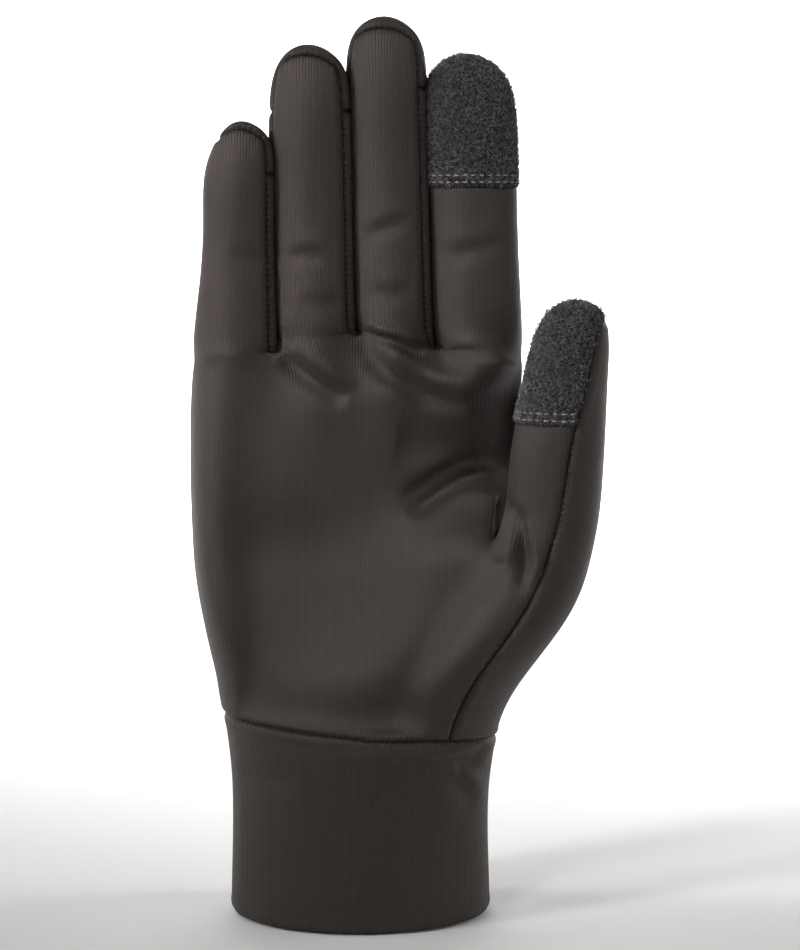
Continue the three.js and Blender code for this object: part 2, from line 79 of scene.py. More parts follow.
palm_sections = rows(
    "height left right little middle index back arch scallop",
    (0.61, -0.51, 0.486, -0.43, -0.34, -0.28, 0.5, 0.2, 0.0),
    (0.71, -0.511, 0.492, -0.41, -0.33, -0.25, 0.47, 0.18, 0.0),
    (0.81, -0.51, 0.498, -0.38, -0.34, -0.28, 0.44, 0.15, 0.02),
    (0.91, -0.505, 0.498, -0.35, -0.35, -0.31, 0.39, 0.11, 0.05),
)
webs = rows(
    "across height slope ahead",
    (-0.5, 0.955, 0.01, 0.12),
    (-0.247, 0.984, 0.06, 0.08),
    (-0.008, 1.03, 0.06, 0.02),
    (0.226, 0.992, 0.06, -0.03),
    (0.491, 0.975, 0.02, -0.06),
)
fingers = rows(
    "name tip shift reach slim round depth curl",
    ("little", -0.35, 0.01, 0.672, 0.82, 0.88, 0.92, 0.3),
    ("ring", -0.145, 0.002, 0.904, 1.0, 0.96, 1.0, 0.36),
    ("middle", 0.079, 0.0, 0.99, 1.0, 1.02, 1.02, 0.34),
    ("index", 0.325, -0.004, 0.872, 0.99, 0.97, 1.02, 0.28),
)
finger_rings = rows(
    "rise width depth",
    (0.06, 1.0, 1.1),
    (0.3, 1.0, 1.04),
    (0.56, 1.0, 0.98),
    (0.78, 0.975, 0.9),
    (0.93, 0.82, 0.76),
)
thumb_rings = rows(
    "rise across ahead width depth turn",
    (0.14, 0.572, -0.58, 1.0, 1.04, -84),
    (0.32, 0.582, -0.62, 0.99, 1.0, -80),
    (0.5, 0.594, -0.65, 0.94, 0.96, -74),
    (0.7, 0.612, -0.67, 0.84, 0.88, -62),
    (0.9, 0.628, -0.68, 0.68, 0.68, -48),
)
thumb_tip = {"across": 0.634, "ahead": -0.68}

# Columns are counted round each ring from the little finger's side, across the palm and back again. The
# wrist's stops give the angle on its oval at some columns, and the lobe is the ball of the thumb.
cuff_columns = 24
front_columns = 8
finger_columns = 8
heel_back, palm_back = 10, 9
finger_angles = (-164, -98, -38, 4, 44, 90, 134, 164)
squareness = 0.82
lean_power = 0.6
peak_share, peak_lift = 0.72, 0.035
pad_ring = 3
wrist_stops = ((0, -162), (8, -80), (10, -50), (12, 0), (14, 48), (22, 160), (23, 180))
lobe_step, lobe_seam = 45, -84
corner_inset = 0.17 * palm_depth
root_share, web_share, corner_share, web_slope = 1.1, 0.3, 0.76, 0.4
finger_tip_chart, thumb_tip_chart = 0.14, 0.2

net = {"points": [], "quads": [], "panels": [], "charts": []}


def mix(start, end, share):
    return start + (end - start) * share


def on_oval(angle, half_width, half_depth, power=1.0):
    turn = math.radians(angle)
    across, ahead = math.cos(turn), math.sin(turn)
    return (
        half_width * math.copysign(abs(across) ** power, across),
        half_depth * math.copysign(abs(ahead) ** power, ahead),
    )


def through_three(first, middle, last, share):
    rest = 1 - share
    return first * rest * (1 - 2 * share) + 4 * middle * share * rest + last * share * (2 * share - 1)


# A ring knows the wales' place u round it, counted from a reference column on each side of the glove,
# and the courses' place v, so that the knit runs up every panel.
def ring_of(indices, sides, heights=None):
    places = [net["points"][i] for i in indices]
    count = len(indices)

    def gap_before(column):
        return math.dist(places[column % count][:2], places[(column - 1) % count][:2])

    chart = {}
    for side, (reference, start, first, last) in sides.items():
        along = {reference: start}
        for column in range(reference + 1, last + 1):
            along[column] = along[column - 1] + gap_before(column)
        for column in range(reference, first, -1):
            along[column - 1] = along[column] - gap_before(column)
        chart[side] = along
    return {"points": indices, "u": chart, "v": heights or [place[2] for place in places]}


def add_points(places):
    first = len(net["points"])
    net["points"] += [list(place) for place in places]
    return list(range(first, len(net["points"])))


def join_rings(lower, upper, panel_of, side_of):
    count = len(lower["points"])
    for column in range(count):
        after = (column + 1) % count
        side, place = side_of(column)
        corners = ((lower, column, 0), (lower, after, 1), (upper, after, 1), (upper, column, 0))
        net["quads"].append([ring["points"][at] for ring, at, step in corners])
        net["panels"].append(panel_of(column))
        net["charts"].append([(ring["u"][side][place + step], ring["v"][at]) for ring, at, step in corners])


def join_cuff(lower, upper):
    last = cuff_columns - 1
    join_rings(lower, upper, lambda column: "cuff", lambda column: ("band", column if column < last else -1))


def join_hand(lower, upper, first_back):
    last = len(upper["points"]) - 1

    def on_palm(column):
        return column < first_back or column == last

    def side_of(column):
        if on_palm(column):
            return "front", column if column < first_back else -1
        return "back", column

    join_rings(lower, upper, lambda column: "palm_panel" if on_palm(column) else "back_panel", side_of)


def wrist_point(column, girth, height, slant):
    after = next(i for i, stop in enumerate(wrist_stops) if column <= stop[0])
    (start, low), (end, high) = wrist_stops[max(0, after - 1)], wrist_stops[max(1, after)]
    angle = mix(low, high, (column - start) / (end - start)) if after else low
    x, y = on_oval(angle, girth * cuff_width / 2, girth * cuff_depth / 2)
    slope = wrist_drop * x / cuff_width + wrist_rise * y / cuff_depth
    return x, y, height - slant * slope + (1 - slant) * mouth_drop * y / cuff_depth


def across_share(column):
    place = (webs[column // 2]["across"] + webs[(column + 1) // 2]["across"]) / 2
    return (place - webs[0]["across"]) / (webs[4]["across"] - webs[0]["across"])


def lobe_point(section, index):
    """A point of the ball of the thumb; the seam runs down the third of them."""
    x, y = on_oval(
        lobe_seam + (index - 2) * section["step"],
        section["lobe_width"] * thumb_width / 2,
        section["lobe_depth"] * thumb_depth / 2,
    )
    return section["lobe_x"] * palm_width + x, section["lobe_y"] * palm_depth + y


def heel_ring(section):
    height = cuff_length + section["height"] * palm_length
    left = section["left"] * palm_width
    edge = lobe_point(section, 0)
    flat = []
    for column in range(front_columns + 1):
        share = across_share(column)
        depth = through_three(section["little"] * palm_depth, section["middle"] * palm_depth, edge[1], share)
        flat.append((mix(left + corner_inset, edge[0], share), depth))
    flat += [lobe_point(section, index) for index in range(1, 7)]
    for column in range(1, front_columns + 1):
        share = 1 - across_share(front_columns - column)
        depth = palm_depth * (section["back"] - section["arch"] * (2 * share - 1) ** 2)
        flat.append((mix(section["right"] * palm_width, left + corner_inset, share), depth))
    flat.append((left, palm_depth * (section["little"] + section["back"] - section["arch"]) / 2))
    places = []
    for column, (x, y) in enumerate(flat):
        oval = wrist_point(column, wrist_girth, height, 1)
        places.append([mix(a, b, section["wrist"]) for a, b in zip((x, y, height), oval)])
    return hand_ring(add_points(places))


def hand_ring(indices):
    """A ring with its three ways round: all round from the little finger's side, the palm, and the back."""
    front, back = (net["points"][indices[4]][0], -net["points"][indices[len(indices) - 6]][0])
    if len(indices) == cuff_columns:
        sides = {"band": (4, front, -1, 23), "front": (4, front, -1, 10), "back": (18, back, 10, 23)}
    else:
        sides = {"front": (4, front, -1, 9), "back": (14, back, 9, 19)}
    return ring_of(indices, sides)


def palm_ring(section):
    height = cuff_length + section["height"] * palm_length
    left, right = section["left"] * palm_width, section["right"] * palm_width
    front, back = [], []
    for column in range(front_columns + 1):
        share = across_share(column)
        valley = section["scallop"] if column % 2 == 0 and 0 < column < front_columns else 0
        x = mix(left + corner_inset, right - corner_inset, share)
        depth = through_three(section["little"], section["middle"], section["index"], share)
        front.append((x, palm_depth * (depth + valley), height))
        depth = section["back"] - section["arch"] * (2 * share - 1) ** 2 - valley
        back.insert(0, (x, palm_depth * depth, height))
    outer = (right, palm_depth * (section["index"] + section["back"] - section["arch"]) / 2, height)
    inner = (left, palm_depth * (section["little"] + section["back"] - section["arch"]) / 2, height)
    return hand_ring(add_points([*front, outer, *back, inner]))


def web_ring():
    front, back, middle = [], [], []
    for column in range(front_columns + 1):
        pair = webs[column // 2], webs[(column + 1) // 2]
        across, height, slope, ahead = (
            (pair[0][key] + pair[1][key]) / 2 for key in ("across", "height", "slope", "ahead")
        )
        x, y, z = palm_width * across, -finger_depth * ahead, cuff_length + palm_length * height
        lower = palm_length * slope
        corner = column in (0, front_columns)
        inner = web_share if column % 2 == 0 else root_share / 2
        depth = finger_depth * (corner_share * root_share / 2 if corner else inner)
        inset = corner_inset * corner_share * (1 if column == 0 else -1) if corner else 0
        front.append((x + inset, y - depth, z))
        back.insert(0, (x + inset, y + depth, z - lower))
        if column % 2 == 0:
            middle.append((x, y, z - lower * web_slope))
    return add_points(front), add_points(middle), add_points(back)


strips = ("little_ring_fourchette", "ring_middle_fourchette", "middle_index_fourchette")


def finger_panel(index, ring, column):
    tip = ring == len(finger_rings) - 1
    on_pad = index == 3 and ring >= pad_ring
    front = "index_touch_pad" if on_pad else "palm_panel"
    if column < 2:
        return front
    if column < 4:
        if index < 3:
            return "back_panel" if tip else strips[index]
        return front if column == 2 else "back_panel"
    if column < 6:
        return "back_panel"
    if on_pad:
        return front if column == 7 else "back_panel"
    if index > 0:
        return "back_panel" if tip else strips[index - 1]
    return "palm_panel" if column == 7 else "back_panel"


def finger_side(panel, column):
    if panel == "back_panel":
        return "back", column
    if panel in strips:
        return ("right" if column < 5 else "left"), column
    return "front", column if column < 5 else column - finger_columns


def close_tip(ring, tip, panels, height):
    (top,) = add_points([tip])
    for corner, panel in zip((0, 2, 4, 6), panels):
        side = "back" if panel == "back_panel" else "front"
        place = corner + finger_columns if side == "back" and corner == 0 else corner
        chart = ring["u"][side]
        ends = [chart[place], chart[place + 1], (chart[place + 1] + chart[place - 1]) / 2, chart[place - 1]]
        levels = [ring["v"][0], ring["v"][0], height, ring["v"][0]]
        after, before = (corner + 1) % finger_columns, (corner - 1) % finger_columns
        net["quads"].append([ring["points"][corner], ring["points"][after], top, ring["points"][before]])
        net["panels"].append(panel)
        net["charts"].append(list(zip(ends, levels)))


def add_finger(index, base):
    finger = fingers[index]
    pair = webs[index], webs[index + 1]
    width = (pair[1]["across"] - pair[0]["across"]) * palm_width - finger_gap
    root = [
        palm_width * (pair[0]["across"] + pair[1]["across"]) / 2,
        -finger_depth * (pair[0]["ahead"] + pair[1]["ahead"]) / 2,
        cuff_length + palm_length * (pair[0]["height"] + pair[1]["height"]) / 2,
    ]
    tip_x = palm_width * finger["tip"]
    tip_z = cuff_length + palm_length + finger_length * finger["reach"]
    lower = base
    for number, ring in enumerate([*finger_rings, {"rise": 1}]):
        rise = ring["rise"]
        x = mix(root[0], tip_x, rise ** lean_power)
        y = root[1] - finger_depth * finger["curl"] * rise ** 2
        z = mix(root[2], tip_z, rise)
        if rise == 1:
            break
        last = number == len(finger_rings) - 1
        slim = mix(1, finger["slim"], min(1, rise * 2)) * (finger["round"] if last else 1)
        half_width = ring["width"] * slim * width / 2
        half_depth = ring["depth"] * finger["depth"] * finger_depth / 2
        places = []
        for column, angle in enumerate(finger_angles):
            across, ahead = on_oval(angle, half_width, half_depth, squareness)
            peak = last and column == 1
            places.append((
                x + across + (finger["shift"] * palm_width if last else 0),
                y + ahead * (peak_share if peak else 1),
                z + (peak_lift * finger_length if peak else 0),
            ))
        sides = {
            "front": (1, base["u"]["front"][1] + places[1][0] - net["points"][base["points"][1]][0], -1, 3),
            "back": (5, base["u"]["back"][5] - places[5][0] + net["points"][base["points"][5]][0], 1, 9),
            "right": (3, places[3][1], 2, 4),
            "left": (7, -places[7][1], 6, 8),
        }
        upper = ring_of(add_points(places), sides, [z] * finger_columns)
        join_rings(
            lower,
            upper,
            lambda column: finger_panel(index, number, column),
            lambda column: finger_side(finger_panel(index, number, column), column),
        )
        lower = upper
    front = "index_touch_pad" if index == 3 else "back_panel"
    top = [x + finger["shift"] * palm_width, y, z]
    panels = [front, front, "back_panel", "back_panel"]
    close_tip(lower, top, panels, lower["v"][0] + finger_length * finger_tip_chart)


def add_thumb(base):
    web_z = cuff_length + heel_sections[-1]["height"] * palm_length
    lower = base
    start = net["points"][base["points"][1]][0]
    for number, ring in enumerate(thumb_rings):
        height = web_z + ring["rise"] * thumb_length
        half_width, half_depth = ring["width"] * thumb_width / 2, ring["depth"] * thumb_depth / 2
        places = []
        for column in range(finger_columns):
            x, y = on_oval(ring["turn"] + (column - 2) * lobe_step, half_width, half_depth)
            places.append((ring["across"] * palm_width + x, ring["ahead"] * palm_depth + y, height))
        sides = {
            "front": (1, base["u"]["front"][1] + places[1][0] - start, -1, 3),
            "back": (4, base["u"]["back"][4], 1, 9),
        }
        upper = ring_of(add_points(places), sides)
        front = "thumb_touch_pad" if number >= pad_ring else "palm_panel"

        def panel_of(column):
            return front if column < 2 or column == 7 else "back_panel"

        join_rings(lower, upper, panel_of, lambda column: finger_side(panel_of(column), column))
        lower = upper
    top = [thumb_tip["across"] * palm_width, thumb_tip["ahead"] * palm_depth, web_z + thumb_length]
    panels = ["thumb_touch_pad", "thumb_touch_pad", "back_panel", "back_panel"]
    close_tip(lower, top, panels, lower["v"][0] + thumb_length * thumb_tip_chart)


def draw_net():
    lower = None
    for section in cuff_sections:
        girth, share = section["girth"], section["height"]
        places = [wrist_point(column, girth, share * cuff_length, share) for column in range(cuff_columns)]
        ring = hand_ring(add_points(places))
        if lower:
            join_cuff(lower, ring)
        lower = ring
    for number, section in enumerate(heel_sections):
        ring = heel_ring(section)
        if number == 0:
            join_cuff(lower, ring)
        else:
            join_hand(lower, ring, heel_back)
        lower = ring
    web = heel_sections[-1]
    (thumb_web,) = add_points([(*lobe_point(web, 7), cuff_length + web["height"] * palm_length)])
    base = ring_of(
        [*lower["points"][8:15], thumb_web],
        {"front": (1, lower["u"]["front"][9], -1, 3), "back": (4, lower["u"]["back"][12], 1, 9)},
    )
    add_thumb(base)
    lower = hand_ring([*lower["points"][:9], thumb_web, *lower["points"][14:]])
    for section in palm_sections:
        ring = palm_ring(section)
        join_hand(lower, ring, palm_back)
        lower = ring
    front, middle, back = web_ring()
    ring = hand_ring([*front, middle[4], *back, middle[0]])
    ring["u"] = lower["u"]
    join_hand(lower, ring, palm_back)
    for index in range(len(fingers)):
        left = 2 * index
        points = [
            front[left], front[left + 1], front[left + 2], middle[index + 1],
            back[6 - left], back[7 - left], back[8 - left], middle[index],
        ]
        base = ring_of(
            points,
            {
                "front": (1, lower["u"]["front"][left + 1], -1, 3),
                "back": (5, lower["u"]["back"][17 - left], 1, 9),
                "right": (3, net["points"][points[3]][1], 2, 4),
                "left": (7, -net["points"][points[7]][1], 6, 8),
            },
        )
        for step in (-1, 0, 1):
            base["u"]["front"][1 + step] = lower["u"]["front"][left + 1 + step]
            base["u"]["back"][5 + step] = lower["u"]["back"][17 - left + step]
        add_finger(index, base)


draw_net()


# The net is fitted so that its smooth surface passes through the tables' points, and is then split into
# fine faces, about 0.7 mm wide.
def read_edges(quads):
    pairs = np.stack([quads, np.roll(quads, -1, 1)], 2).reshape(-1, 2)
    ordered = np.sort(pairs, 1)
    edges, inverse, uses = np.unique(ordered, axis=0, return_inverse=True, return_counts=True)
    return edges, inverse.reshape(-1, 4), uses


def corner_sum(count, indices, values):
    total = np.zeros((count, values.shape[1]))
    np.add.at(total, indices.ravel(), values)
    return total


def neighbour_sum(points, edges):
    first, second = edges[:, 0], edges[:, 1]
    return corner_sum(len(points), first, points[second]) + corner_sum(len(points), second, points[first])


def smooth_places(points, quads):
    edges, _, uses = read_edges(quads)
    count = len(points)
    degree = np.bincount(edges.ravel(), minlength=count)[:, None]
    far = corner_sum(count, quads, points[np.roll(quads, -2, 1)].reshape(-1, 3))
    places = (points * degree ** 2 + 4 * neighbour_sum(points, edges) + far) / (degree * (degree + 5))
    rim = edges[uses == 1]
    on_rim = np.unique(rim)
    places[on_rim] = (4 * points[on_rim] + neighbour_sum(points, rim)[on_rim]) / 6
    return places


def split_net(points, quads, charts):
    edges, side, uses = read_edges(quads)
    count = len(points)
    centres = points[quads].mean(1)
    middles = points[edges].mean(1)
    degree = np.bincount(edges.ravel(), minlength=count)[:, None]
    face_mean = corner_sum(count, quads, np.repeat(centres, 4, 0)) / degree
    edge_mean = (corner_sum(count, edges[:, 0], middles) + corner_sum(count, edges[:, 1], middles)) / degree
    moved = (face_mean + 2 * edge_mean + (degree - 3) * points) / degree
    rim = edges[uses == 1]
    on_rim = np.unique(rim)
    moved[on_rim] = (6 * points[on_rim] + neighbour_sum(points, rim)[on_rim]) / 8
    beside = corner_sum(len(edges), side, np.repeat(centres, 4, 0))
    inner = uses == 2
    middles[inner] = (2 * middles[inner] + beside[inner]) / 4
    face_at = np.repeat((count + np.arange(len(quads)))[:, None], 4, 1)
    edge_at = count + len(quads) + side
    split = np.stack([quads, edge_at, face_at, np.roll(edge_at, 1, 1)], 2).reshape(-1, 4)
    half = (charts + np.roll(charts, -1, 1)) / 2
    centre = np.repeat(charts.mean(1)[:, None], 4, 1)
    fine = np.stack([charts, half, centre, np.roll(half, 1, 1)], 2).reshape(-1, 4, 2)
    middle_of = {(int(a), int(b)): count + len(quads) + i for i, (a, b) in enumerate(edges)}
    return np.concatenate([moved, centres, middles]), split, fine, middle_of


def corner_normals(points, quads):
    a, b, c, d = (points[quads[:, i]] for i in range(4))
    normals = corner_sum(len(points), quads, np.repeat(np.cross(c - a, d - b), 4, 0))
    return normals / np.maximum(np.linalg.norm(normals, axis=1, keepdims=True), 1e-12)


places = np.array(net["points"], float)
quads = np.array(net["quads"])
charts = np.array(net["charts"], float)
panel_names = sorted(set(net["panels"]))
panels = np.array([panel_names.index(name) for name in net["panels"]])
fitted = places.copy()
fitting_rounds = 4
for _ in range(fitting_rounds):
    fitted += places - smooth_places(fitted, quads)

split_levels = 4
for _ in range(split_levels):
    coarse = (quads, charts, panels)
    fitted, quads, charts, middle_of = split_net(fitted, quads, charts)
    panels = np.repeat(panels, 4)
skin = smooth_places(fitted, quads)

# Creases in the palm, the fingers and the cuff, as the knit is pulled on the hand. Each path is a few places
# in the photograph, listed in its pixels. The half width and the depth are in metres, a negative depth is a
# ridge, and the lip is the share of a raised lip on the path's left. The palm is nearer to the camera than
# the glove's middle, so a pixel covers less of it, and it is seen 1 mm too low.
photo_centre = (400, 475)
photo_height = 950
pixel_size = 0.0002704
photo_middle = (0.01088, 0.119)
palm_nearness, palm_raise = 0.98, 0.001
creases = rows(
    "name path width depth lip",
    ("below the ring finger", ((281, 354), (305, 374), (347, 402)), 0.0027, 0.0022, 0.5),
    ("below the middle finger", ((359, 338), (384, 371), (425, 394), (468, 408)), 0.003, 0.0023, 0.45),
    ("ridge at the middle finger's root", ((366, 322), (396, 331), (430, 344)), 0.0018, -0.0015, 0),
    ("groove under that ridge", ((372, 334), (400, 344), (424, 356)), 0.0015, 0.0013, 0),
    ("ridge at the index's root", ((441, 356), (470, 344), (494, 353), (512, 384)), 0.0032, -0.0013, 0),
    (
        "fold from the palm to the thumb",
        ((408, 515), (431, 498), (456, 483), (482, 474), (508, 482)),
        0.0023, 0.0026, -0.6,
    ),
    ("dip in the palm", ((396, 440), (430, 446), (474, 440)), 0.006, 0.0012, 0),
    ("inner fold at the thumb's root", ((507, 488), (502, 528), (497, 556)), 0.0015, 0.0028, 0.4),
    ("outer fold at the thumb's root", ((509, 494), (517, 525), (521, 550), (520, 584)), 0.0023, 0.0024, 0),
    ("ridge between the two folds", ((510, 512), (510, 532), (508, 552)), 0.0011, -0.0009, 0),
    ("ridge beside the outer fold", ((522, 512), (534, 546), (533, 576)), 0.0018, -0.0011, 0),
    ("dip above the wrist", ((236, 700), (330, 716), (430, 712)), 0.007, 0.0015, 0),
    ("upper crease of the ring finger", ((288, 258), (305, 254), (325, 258)), 0.0019, 0.0006, 0.4),
    ("lower crease of the ring finger", ((298, 300), (318, 306), (344, 302)), 0.0024, 0.0005, 0.3),
    ("upper crease of the middle finger", ((366, 238), (384, 228), (410, 222)), 0.0019, 0.0007, 0.4),
    ("lower crease of the middle finger", ((368, 290), (390, 296), (414, 290)), 0.0026, 0.0005, 0.3),
    ("crease of the index finger", ((446, 256), (476, 250), (508, 238)), 0.0022, 0.0006, 0.4),
    ("crease of the little finger", ((232, 250), (250, 262), (268, 262)), 0.0026, 0.0005, 0.3),
    ("ridge under the wrist seam", ((322, 748), (400, 752), (492, 748)), 0.0015, -0.0006, 0),
    ("tuck at the cuff's right", ((490, 752), (478, 762), (456, 770)), 0.002, 0.0012, 0),
    ("ridge down the cuff", ((460, 768), (474, 784), (488, 806)), 0.0018, -0.0008, 0),
    ("groove beside that ridge", ((452, 776), (464, 794), (476, 816)), 0.0022, 0.0006, 0),
    ("crease at the cuff's left", ((232, 772), (262, 776), (300, 782)), 0.0026, 0.0006, 0),
)
hollows = rows(
    "name path width depth lip",
    ("hollow beside the thumb", ((524, 366), (522, 400), (520, 450), (508, 500)), 0.0095, 0.0105, 0),
    ("slope down to it", ((486, 388), (494, 430), (490, 470)), 0.009, 0.0026, 0),
)
# The lip stands 1.7 half widths beside the path. Knit that faces the palm's side takes a crease in full. The
# hollow takes sideways knit along in part, so that its edge rolls in, and leaves the thumb in front alone.
lip_place = 1.7
full_facing = 1.5
hollow_turn = 0.3
hollow_front, hollow_soft = -0.018, 0.003


def palm_place(pixel):
    """A picked place on the palm, across and up, to a thousandth of the palm's width and length."""
    near = pixel_size * palm_nearness
    across = photo_middle[0] + (pixel[0] - photo_centre[0]) * near
    up = photo_middle[1] + palm_raise + (photo_centre[1] - pixel[1]) * near - cuff_length
    return round(across / palm_width, 3) * palm_width, cuff_length + round(up / palm_length, 3) * palm_length


def crease_depth(points, crease):
    """How deep each point lies in a crease that is seen from the palm's side and runs out at both ends."""
    path = np.array([palm_place(pixel) for pixel in crease["path"]])
    runs = path[1:] - path[:-1]
    lengths = np.linalg.norm(runs, axis=1)
    nearest = np.full(len(points), np.inf)
    signed = np.zeros(len(points))
    place = np.zeros(len(points))
    for start, run, length, before in zip(path, runs, lengths, np.cumsum(lengths) - lengths):
        offset = points[:, [0, 2]] - start
        along = np.clip(offset @ run / length ** 2, 0, 1)
        away = np.linalg.norm(offset - along[:, None] * run, axis=1)
        closer = away < nearest
        nearest[closer] = away[closer]
        side = np.sign(run[0] * offset[:, 1] - run[1] * offset[:, 0])
        signed[closer] = (away * side)[closer]
        place[closer] = (before + along * length)[closer] / lengths.sum()
    across = signed / crease["width"]
    valley = np.exp(-(across ** 2)) - crease["lip"] * np.exp(-((across - lip_place) ** 2))
    return valley * (1 - (2 * place - 1) ** 4) * crease["depth"]


def pull_in(points, normals):
    """Points moved by the creases; the hollow beside the thumb moves straight back, its edge with it."""
    facing = np.clip(-normals[:, 1] * full_facing, 0, 1)
    rolling = np.clip(hollow_turn - normals[:, 1], 0, 1)
    rolling *= np.clip((points[:, 1] - hollow_front) / hollow_soft + 0.5, 0, 1)
    dented = facing * sum(crease_depth(points, crease) for crease in creases)
    hollow = rolling * sum(crease_depth(points, crease) for crease in hollows)
    return points - normals * dented[:, None] + np.array([0, 1, 0]) * hollow[:, None]


def relax(points, weight, rounds):
    """Points eased towards their neighbours, as far as the weight from 0 to 1 lets each one go."""
    edges, _, _ = read_edges(quads)
    near = edges[(weight[edges] > 0).any(1)]
    degree = np.maximum(np.bincount(near.ravel(), minlength=len(points)), 1)[:, None]
    for _ in range(rounds):
        points = points + (neighbour_sum(points, near) / degree - points) * weight[:, None] / 2
    return points


def band(values, low, high, soft):
    return np.clip((values - low) / soft, 0, 1) * np.clip((high - values) / soft, 0, 1)


# The back runs over the knuckles without a step, and the palm's edge beside the thumb rolls in smoothly.
knuckle_low, knuckle_high, knuckle_front = 0.136, 0.160, 0.004
knuckle_rounds = 90
edge_low, edge_high, edge_left, edge_right, edge_front = 0.106, 0.152, 0.036, 0.048, -0.012
edge_rounds = 30
knuckle_soft, soft = 0.004, 0.003
knuckles = band(skin[:, 2], knuckle_low, knuckle_high, knuckle_soft)
knuckles *= np.clip((skin[:, 1] - knuckle_front) / soft, 0, 1)
skin = relax(skin, knuckles, knuckle_rounds)
skin = pull_in(skin, corner_normals(skin, quads))
palm_edge = band(skin[:, 2], edge_low, edge_high, 2 * soft) * band(skin[:, 0], edge_left, edge_right, soft)
palm_edge *= np.clip((skin[:, 1] - edge_front) / soft, 0, 1)
skin = relax(skin, palm_edge, edge_rounds)
skin_normals = corner_normals(skin, quads)


# Each panel ends at a seam: its edge turns in, the knit swells beside it, and every point keeps its
# distance from the seam and its place along it, for the puckers and for the painted shade in the seam's
# groove.
# A lapped edge has no such seam.
def rim_points(name):
    chosen = quads[panels == panel_names.index(name)]
    edges, _, uses = read_edges(chosen)
    return set(edges[uses == 1].ravel().tolist())


def rim_links(pairs):
    links = {}
    for a, b in pairs:
        links.setdefault(a, []).append(b)
        links.setdefault(b, []).append(a)
    return links


def seam_distances(chosen, lapped):
    edges, _, uses = read_edges(chosen)
    away = np.full(len(skin), np.inf)
    along = np.zeros(len(skin))
    links = rim_links(pair for pair in edges[uses == 1].tolist() if not lapped.issuperset(pair))
    seen = set()
    for first in sorted(links):
        if first in seen:
            continue
        point, length = first, 0.0
        while point is not None:
            seen.add(point)
            away[point], along[point] = 0.0, length
            following = next((other for other in links[point] if other not in seen), None)
            if following is not None:
                length += float(np.linalg.norm(skin[following] - skin[point]))
            point = following
    both = np.concatenate([edges, edges[:, ::-1]])
    step = np.linalg.norm(skin[both[:, 0]] - skin[both[:, 1]], axis=1)
    for _ in range(seam_steps):
        trial = away[both[:, 1]] + step
        better = np.flatnonzero(trial < away[both[:, 0]])
        order = better[np.argsort(-trial[better], kind="stable")]
        away[both[order, 0]] = trial[order]
        along[both[order, 0]] = along[both[order, 1]]
    return away, along


seam_dip, seam_half = 0.0006, 0.0007
seam_swell, swell_place, swell_half = 0.00015, 0.0022, 0.0011
lift_half = 0.0008
seam_steps, seam_reach = 14, 0.02
lapped_edges = (rim_points("index_touch_pad") | rim_points("thumb_touch_pad")) & rim_points("palm_panel")


def add_object(name, data):
    made = bpy.data.objects.new(name, data)
    bpy.context.scene.collection.objects.link(made)
    return made


def add_values(mesh, name, values):
    mesh.attributes.new(name, "FLOAT", "POINT").data.foreach_set("value", values.astype(np.float32))


def build_panel(name, wall, lift=0.0):
    """A panel as a closed sheet of knit: fine outside, coarser inside, joined round its edge."""
    number = panel_names.index(name)
    outer = quads[panels == number]
    chart = charts[panels == number]
    inner = coarse[0][coarse[2] == number]
    inner_chart = coarse[1][coarse[2] == number]
    away, along = seam_distances(outer, lapped_edges)
    dip = seam_dip * np.exp(-((away / seam_half) ** 2))
    swell = seam_swell * np.exp(-(((away - swell_place) / swell_half) ** 2))
    rise = lift * (1 - np.exp(-((away / lift_half) ** 2)))
    dressed = skin + skin_normals * (swell - dip + rise)[:, None]
    used, at = np.unique(outer, return_inverse=True)
    used_inner, at_inner = np.unique(inner, return_inverse=True)
    lining = dressed[used_inner] - skin_normals[used_inner] * wall
    points = np.concatenate([dressed[used], lining])
    outer_at = dict(zip(used.tolist(), range(len(used))))
    inner_at = dict(zip(used_inner.tolist(), range(len(used), len(points))))
    faces = at.reshape(-1, 4).tolist()
    uvs = chart.reshape(-1, 2).tolist()
    faces += (at_inner.reshape(-1, 4)[:, ::-1] + len(used)).tolist()
    uvs += inner_chart[:, ::-1].reshape(-1, 2).tolist()
    pairs = np.stack([inner, np.roll(inner, -1, 1)], 2).reshape(-1, 2).tolist()
    places_uv = inner_chart.reshape(-1, 2).tolist()
    after_uv = np.roll(inner_chart, -1, 1).reshape(-1, 2).tolist()
    known = {(a, b) for a, b in pairs}
    for (a, b), start, end in zip(pairs, places_uv, after_uv):
        if (b, a) in known:
            continue
        middle = middle_of[(min(a, b), max(a, b))]
        faces.append([outer_at[b], outer_at[middle], outer_at[a], inner_at[a], inner_at[b]])
        centre = [(start[0] + end[0]) / 2, (start[1] + end[1]) / 2]
        uvs += [end, centre, start, start, end]
    mesh = bpy.data.meshes.new(name + "_knit")
    mesh.from_pydata(points.tolist(), [], faces)
    layer = mesh.uv_layers.new(name="wales")
    layer.data.foreach_set("uv", np.array(uvs, np.float32).ravel())
    both = np.concatenate([used, used_inner])
    add_values(mesh, "seam_distance", np.minimum(away, seam_reach)[both])
    add_values(mesh, "seam_place", along[both])
    mesh.polygons.foreach_set("use_smooth", [True] * len(mesh.polygons))
    mesh.update()
    return add_object(name + "_cloth", mesh)


# Stretch knit: a fine polyester and elastane jersey in dark warm grey. The eye sees upright ribs of small V
# stitches with a dull, soft light along the folds. The photographed rib is finer and partly slanting: here the
# wales are drawn coarser, at 0.68 mm or about two and a half of the picture's pixels, so that they show.
def linear(code):
    shares = [int(code[i:i + 2], 16) / 255 for i in (1, 3, 5)]
    return (*[c / 12.92 if c <= 0.04045 else ((c + 0.055) / 1.055) ** 2.4 for c in shares], 1.0)


